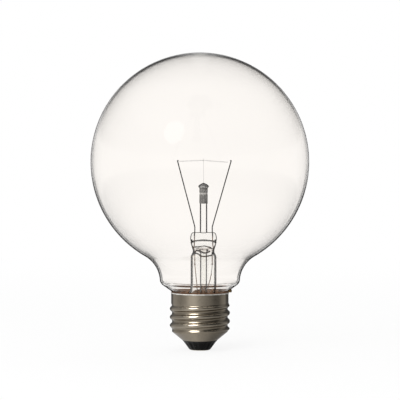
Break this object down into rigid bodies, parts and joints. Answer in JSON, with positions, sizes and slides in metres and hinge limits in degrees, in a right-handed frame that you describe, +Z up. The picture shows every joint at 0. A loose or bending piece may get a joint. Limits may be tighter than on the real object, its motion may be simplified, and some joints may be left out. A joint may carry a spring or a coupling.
{
  "type": "globe bulb",
  "caption": "Clear glass globe lamp with a coiled filament on a glass stem and a right-hand medium screw cap.",
  "frame": {"origin": "middle of the centre contact's flat face, at the bottom of the cap, on the lamp's axis", "axes": "+Z up the lamp's axis from the contact to the globe, +X to the side on which the stem stands off the axis, -Y towards the picture's camera"},
  "size_m": [0.095, 0.095, 0.1295],
  "materials": {
    "clear_glass": "clear, blown, polished",
    "stem_glass": "clear, drawn and pressed",
    "getter_grey": "matt grey",
    "lead_wire": "drawn nickel-plated wire",
    "copper_wire": "drawn copper-clad wire",
    "tungsten": "drawn, coiled",
    "cap_metal": "nickel-plated, rolled",
    "black_insulator": "moulded black glass, glossy",
    "contact_metal": "stamped",
    "solder": "cast, dull",
    "solder_flux": "solder under amber flux",
    "cement_brown": "baked cement, matt"
  },
  "bodies": {
    "root": {"glass_globe": "clear_glass", "cap_shell": "cap_metal", "cap_insulator": "black_insulator", "centre_contact": "contact_metal", "centre_solder": "solder", "basing_cement": "cement_brown", "side_solder": "solder_flux", "stem_flare": "stem_glass", "exhaust_tube": "stem_glass", "glass_rod": "stem_glass", "getter_sleeve": "getter_grey", "inner_lead_left": "lead_wire", "inner_lead_right": "lead_wire", "seal_wire_left": "copper_wire", "seal_wire_right": "copper_wire", "fuse_wire": "lead_wire", "outer_lead_left": "copper_wire", "outer_lead_right": "copper_wire", "filament": "tungsten", "support_wire": "tungsten"}
  },
  "joints": []
}
